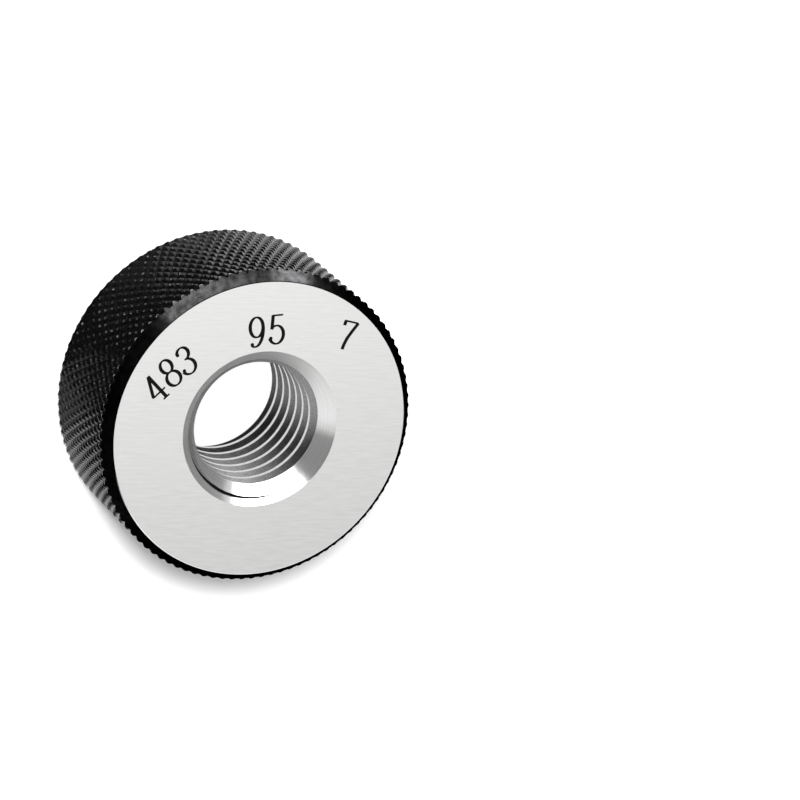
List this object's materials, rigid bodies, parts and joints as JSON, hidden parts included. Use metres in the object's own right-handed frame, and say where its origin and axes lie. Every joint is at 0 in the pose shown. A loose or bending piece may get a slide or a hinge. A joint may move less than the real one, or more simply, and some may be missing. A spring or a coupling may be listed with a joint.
{
  "type": "thread ring gauge",
  "caption": "Solid steel ring with a right-hand internal thread, countersunk both ends, and a black diamond-knurled rim, for checking an external screw thread.",
  "frame": {"origin": "centre of the plain back face, on the surface that the ring lies on", "axes": "+Z along the thread's axis, from the plain back face to the marked face"},
  "size_m": [0.045, 0.045, 0.021],
  "materials": {
    "ground_steel": "fine ground end faces, bright turned and lapped thread",
    "blackened_steel": "black oxide on the knurled rim and the outer chamfers"
  },
  "bodies": {
    "root": {"gauge_ring": "ground_steel"}
  },
  "joints": []
}
